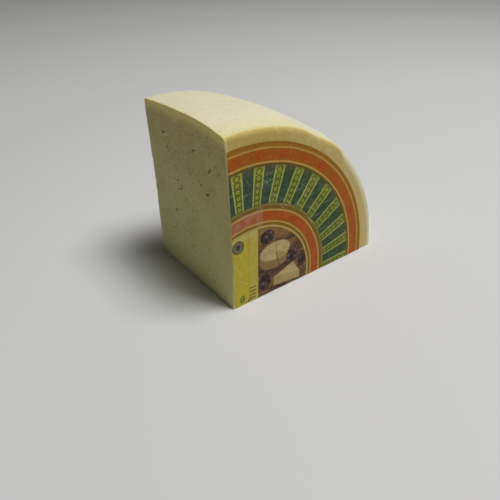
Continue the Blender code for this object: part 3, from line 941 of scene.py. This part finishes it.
in_middle = 1 - ring_at.rise(73.0, 73.6)
panel_mask = in_middle * (1 - panel_x.rise(27.3, 27.9))
dash = (panel_z * 0.42).part().within(0.22, 0.62, 0.08) * panel_z.within(24.0, 61.0, 0.3)
dash = dash * panel_x.within(19.4, 25.2, 0.3) * q.noise(0.55, 2.0, at=on_label).rise(0.40, 0.50)
bar_feet = [BAR_FOOT + number * BAR_PITCH for number in range(BARS)]
bars = [box(BAR_LEFT, BAR_RIGHT, low, low + BAR_TALL) for low in bar_feet]
vein = panel_x.within(9.1, 9.7, 0.2) * ellipse(9.4, 6.6, 3.0, 4.6)
roundel_x, roundel_z = panel_x - 5.5, panel_z - 63.6
roundel = (roundel_x * roundel_x + roundel_z * roundel_z).root() + (uneven - 0.5) * 1.2
print_colour = q.coats(
    print_colour,
    (panel_mask * q.noise(0.06, 3.0).rise(0.40, 0.66) * 0.5, GOLD),
    (panel_mask * panel_x.rise(17.2, 17.8) * 0.6, RIGHT_GOLD),
    (panel_mask * panel_z.rise(64.0, 72.0) * 0.7, TOP_GOLD),
    (dash * 0.30, DASH),
    (panel_x.within(17.0, 17.7, 0.25) * in_middle * 0.6, FOLD),
    *((bar * 0.75, BAR) for bar in bars),
    (ellipse(9.4, 6.6, 3.0, 4.6, 0.12) * 0.85, LEAF),
    (vein * 0.6, PANEL),
    ((1 - roundel.rise(5.9, 7.1)) * 0.9, ROUNDEL),
    (roundel.within(3.3, 4.6, 0.4) * 0.6, ROUNDEL_RING),
    ((1 - roundel.rise(1.6, 3.0)) * 0.7, ROUNDEL_EYE))
print("the panel has", len(bars), "bars and brings the label to", len(q.tree.nodes), "nodes")

# %% The picture
WOOD_DARK, WOOD_LIGHT, WOOD_TOP = (0.085, 0.040, 0.022), (0.27, 0.125, 0.040), (0.36, 0.19, 0.045)
CREAM, CREAM_SIDE, CREAM_NOTCH = (0.60, 0.47, 0.210), (0.33, 0.20, 0.070), (0.46, 0.33, 0.13)
SLICE_SIDE, WORN_BROWN = (0.50, 0.38, 0.16), (0.30, 0.19, 0.085)
SHADE, NOTCH_LINE = (0.045, 0.022, 0.016), (0.16, 0.09, 0.035)
GRAPE_DARK, GRAPE, GRAPE_GLINT = (0.030, 0.016, 0.018), (0.150, 0.085, 0.085), (0.34, 0.27, 0.25)
BUNCHES = ((38.0, 63.0, 8.5, 7.0), (36.0, 15.0, 7.5, 9.5), (69.0, 33.0, 7.0, 8.5), (82.0, 22.0, 5.0, 7.0))

wood = q.noise(0.22, 4.0, 0.65, at=q.turned(on_label, (0.0, math.radians(-32), 0.0), (0.30, 1.0, 1.0)))
shadow = most_of([ellipse(51.0, 31.0, 19.5, 11.0, 0.35), ellipse(66.0, 6.5, 19.0, 7.0, 0.35)])
wheel_side = ellipse(48.0, 35.5, 18.0, 9.5).most(box(30.0, 66.0, 35.5, 44.5))
grape_cells = q.node("TexVoronoi", {"feature": "F1"}, {"Vector": on_label, "Scale": 0.19, "Randomness": 0.85})
grape = q.coats(
    GRAPE_DARK,
    (1 - grape_cells.rise(0.15, 0.62), GRAPE),
    ((1 - grape_cells.rise(0.08, 0.24)) * 0.5, GRAPE_GLINT))
bunches = most_of([ellipse(*form, 0.25) for form in BUNCHES])
bunches = (bunches + (uneven - 0.5) * 0.8 - grape_cells.rise(0.5, 0.8) * 0.25).rise(0.35, 0.65)
picture_colour = q.coats(
    WOOD_DARK,
    (wood.rise(0.40, 0.62), WOOD_LIGHT),
    (panel_z.rise(52.0, 70.0) * 0.75, WOOD_TOP),
    (shadow * 0.7, SHADE),
    (wheel_side, CREAM_SIDE),
    (ellipse(48.0, 45.0, 18.0, 9.5), CREAM),
    (polygon((48.0, 45.0), (53.0, 33.5), (64.5, 37.5)), CREAM_NOTCH),
    (polygon((48.5, 43.0), (53.2, 26.0), (54.2, 26.3), (49.5, 43.0)), NOTCH_LINE),
    (polygon((47.0, 6.0), (80.0, 2.5), (80.0, 10.0), (47.0, 16.0)), SLICE_SIDE),
    (polygon((47.0, 16.0), (80.0, 10.0), (71.0, 24.0)), CREAM),
    (uneven.rise(0.45, 0.7) * 0.35, WORN_BROWN),
    (bunches, grape))
print_colour = q.mix(in_middle * panel_x.rise(27.4, 28.0), print_colour, picture_colour)
print("the middle brings the label to", len(q.tree.nodes), "nodes")

# %% Film over the print: haze, a clear strip, creases with painted highlights, and painted glints
STRIP_TAN, PALE_RED, HAZE = (0.66, 0.52, 0.36), (0.55, 0.34, 0.26), (0.70, 0.66, 0.42)
HAZE_DARK, PAINTED_CREASE_HIGHLIGHT, GLINT = (0.10, 0.08, 0.02), (0.72, 0.62, 0.40), (0.80, 0.80, 0.74)
CREASES = ((1.0, 47.0, 9.0, 33.0), (5.0, 30.0, 14.0, 22.0), (61.0, 92.0, 66.0, 86.0),
           (88.0, 66.0, 94.0, 58.0), (70.0, 84.0, 86.0, 97.0))
GLINT_PATCHES = ((18.0, 128.0, 7.0), (37.0, 116.0, 7.0), (57.0, 90.0, 6.0), (45.0, 99.0, 5.0), (80.0, 98.0, 8.0))


def scratch(x0, z0, x1, z1):
    """1 along the line between two points, a little out of true, and 0 beside it and past its ends."""
    ux, uz, long, left_of = side_on(x0, z0, x1, z1)
    along = (panel_x - x0) * ux + (panel_z - z0) * uz
    return (1 - abs(left_of + (streaks - 0.5) * 2.5).rise(0.2, 0.8)) * along.within(0.0, long, 1.5)


strip = panel_x.within(25.8, 33.2, 1.3) * panel_z.within(76.0, 95.5, 2.5)
pale_left = (1 - panel_x.rise(22.0, 30.0)) * ring_at.within(79.0, 91.5, 1.5)
crease = most_of([scratch(*ends) for ends in CREASES])
# patches where the film is painted with glints; the same noise also gives the film small bumps
glint_patches = most_of([ellipse(x, z, reach, reach, 0.5) for x, z, reach in GLINT_PATCHES])
speck_bumps_and_glints = q.noise(0.55, 4.0, 0.65)
# painted glints on the film, gathered in patches and scattered thinly elsewhere
glint = speck_bumps_and_glints.rise(0.58, 0.66) * glint_patches + speck_bumps_and_glints.rise(0.70, 0.78) * uneven.rise(0.5, 0.62) * 0.5
haze = q.noise(0.30, 4.0, 0.65)
print_colour = q.coats(
    print_colour,
    (strip * uneven.rise(0.25, 0.55) * 0.20, STRIP_TAN),
    (pale_left * uneven.rise(0.25, 0.62) * 0.42, PALE_RED),
    (haze.rise(0.50, 0.68) * 0.07, HAZE),
    ((1 - haze.rise(0.34, 0.48)) * 0.16, HAZE_DARK),
    # painted highlights along the film's creases
    (crease * 0.35, PAINTED_CREASE_HIGHLIGHT),
    (glint.least(1.0) * 0.75, GLINT))
film_height = q.noise(0.16, 4.0, 0.6) * 0.8 + speck_bumps_and_glints * 0.12 + streaks * 0.4 + crease * 0.25
q.feed(Base_Color=print_colour, Roughness=0.36 + q.noise(0.25, 3.0) * 0.18,
       Normal=q.bump(film_height, 0.35), Specular_IOR_Level=0.14)
label.data.materials.clear()
label.data.materials.append(q.material)
print("label painted with", len(q.tree.nodes), "nodes")

# %% A flat map for the label
flat = label.data.uv_layers.new(name="OFBake")
corner_index = np.empty(len(label.data.loops), np.int32)
label.data.loops.foreach_get("vertex_index", corner_index)
where = np.empty(len(label.data.vertices) * 3, np.float32)
label.data.vertices.foreach_get("co", where)
where = where.reshape(-1, 3)[:, [0, 2]]
low, span = where.min(0), np.ptp(where, axis=0).max()
flat.uv.foreach_set("vector", (0.01 + 0.98 * (where - low) / span)[corner_index].astype(np.float32).ravel())
print("label map spans", round(1000 * float(span), 1), "mm")

# %% Put the pieces in the frame
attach(cheese, "root")
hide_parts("cheese")
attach(label, "root")
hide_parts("label")
print("cheese_wedge and label_sheet take the places of the cheese and its label")

# %% [markdown]
# ## Studio
#
# A plain pale floor, one large soft light high up to the right and in front, and a faint glow from the
# walls that weakens upwards. The labelled face gets light at a slant and the upright cut stays in soft
# shade, as on the real one.

# %% Floor and world
FLOOR_HALF, FLOOR_DROP, FLOOR_GREY = 6.0, 0.0002, 0.74      # metres, metres, reflected share
GLOW_FROM, GLOW_TO, GLOW_LOW, GLOW_HIGH = 0.37, 0.62, 0.14, 0.02
floor_mesh = bpy.data.meshes.new("floor")
floor_mesh.from_pydata([(-FLOOR_HALF, -FLOOR_HALF, 0), (FLOOR_HALF, -FLOOR_HALF, 0),
                        (FLOOR_HALF, FLOOR_HALF, 0), (-FLOOR_HALF, FLOOR_HALF, 0)], [], [(0, 1, 2, 3)])
floor = in_scene("floor", floor_mesh)
floor.location.z = -FLOOR_DROP
floor_paint = Paint("floor_paint")
floor_paint.feed(Base_Color=(FLOOR_GREY, FLOOR_GREY, FLOOR_GREY), Roughness=0.8)
floor_mesh.materials.append(floor_paint.material)

world = bpy.data.worlds.new("studio")
bpy.context.scene.world = world
world.use_nodes = True
sky, background = world.node_tree.nodes, world.node_tree.nodes["Background"]
way, parts, fade = (sky.new("ShaderNode" + kind) for kind in ("TexCoord", "SeparateXYZ", "MapRange"))
fade.interpolation_type = "SMOOTHSTEP"
fading = {"From Min": GLOW_FROM, "From Max": GLOW_TO, "To Min": GLOW_LOW, "To Max": GLOW_HIGH}
for key, value in fading.items():
    fade.inputs[key].default_value = value
world.node_tree.links.new(way.outputs["Generated"], parts.inputs[0])
world.node_tree.links.new(parts.outputs["Z"], fade.inputs["Value"])
world.node_tree.links.new(fade.outputs[0], background.inputs["Strength"])
background.inputs["Color"].default_value = (1.0, 1.0, 0.98, 1.0)
bpy.context.scene.view_settings.view_transform = "Standard"
print("floor", 2 * FLOOR_HALF, "m wide; glow", GLOW_LOW, "low down and", GLOW_HIGH, "overhead")

# %% The light
KEY_PLACE, KEY_AIM = (0.60, -0.66, 2.70), (0.0, 0.0, 0.08)
KEY_WIDE, KEY_POWER, KEY_COLOUR = 1.15, 65.0, (1.0, 0.995, 0.98)     # metres, watts
lamp = bpy.data.lights.new("key", "AREA")
lamp.shape, lamp.size, lamp.energy, lamp.color = "SQUARE", KEY_WIDE, KEY_POWER, KEY_COLOUR
key_light = in_scene("key", lamp)
key_light.location = KEY_PLACE
beam = Vector(np.subtract(KEY_AIM, KEY_PLACE))
key_light.rotation_mode = "QUATERNION"
key_light.rotation_quaternion = beam.to_track_quat("-Z", "Y")
print("the light hangs", round(beam.length, 2), "m from the cheese")

# %% [markdown]
# ## Camera
#
# The camera looks down at the corner of the wedge from the left of its label. Its place and turn were
# found from the wedge's own edges and the label's rings: where edges meet in the photograph fixes the
# angle, and how they close up fixes the lens.

# %% Camera
CAMERA_PLACE = (-0.32994, -0.38298, 0.31391)
AZIMUTH, DOWNWARD, ROLL = math.radians(38.496), math.radians(32.352), math.radians(0.335)
SENSOR, FOCAL_PIXELS, FRAME_PIXELS = 36.0, 545.03, 500

camera_data = bpy.data.cameras.new("camera")
camera_data.sensor_width = SENSOR
camera_data.lens = SENSOR * FOCAL_PIXELS / FRAME_PIXELS
camera = in_scene("camera", camera_data)
ahead = np.array([math.sin(AZIMUTH) * math.cos(DOWNWARD),
                  math.cos(AZIMUTH) * math.cos(DOWNWARD), -math.sin(DOWNWARD)])
level = np.array([math.cos(AZIMUTH), -math.sin(AZIMUTH), 0.0])
raised = np.cross(level, ahead)
right = level * math.cos(ROLL) + raised * math.sin(ROLL)
above = np.cross(right, ahead)
camera.rotation_mode = "QUATERNION"
camera.rotation_quaternion = Matrix(np.stack([right, above, -ahead], 1).tolist()).to_quaternion()
camera.location = CAMERA_PLACE
bpy.context.scene.camera = camera
print("lens", round(camera_data.lens, 2), "mm")

# %% Bring the scene up to date
bpy.context.view_layer.update()
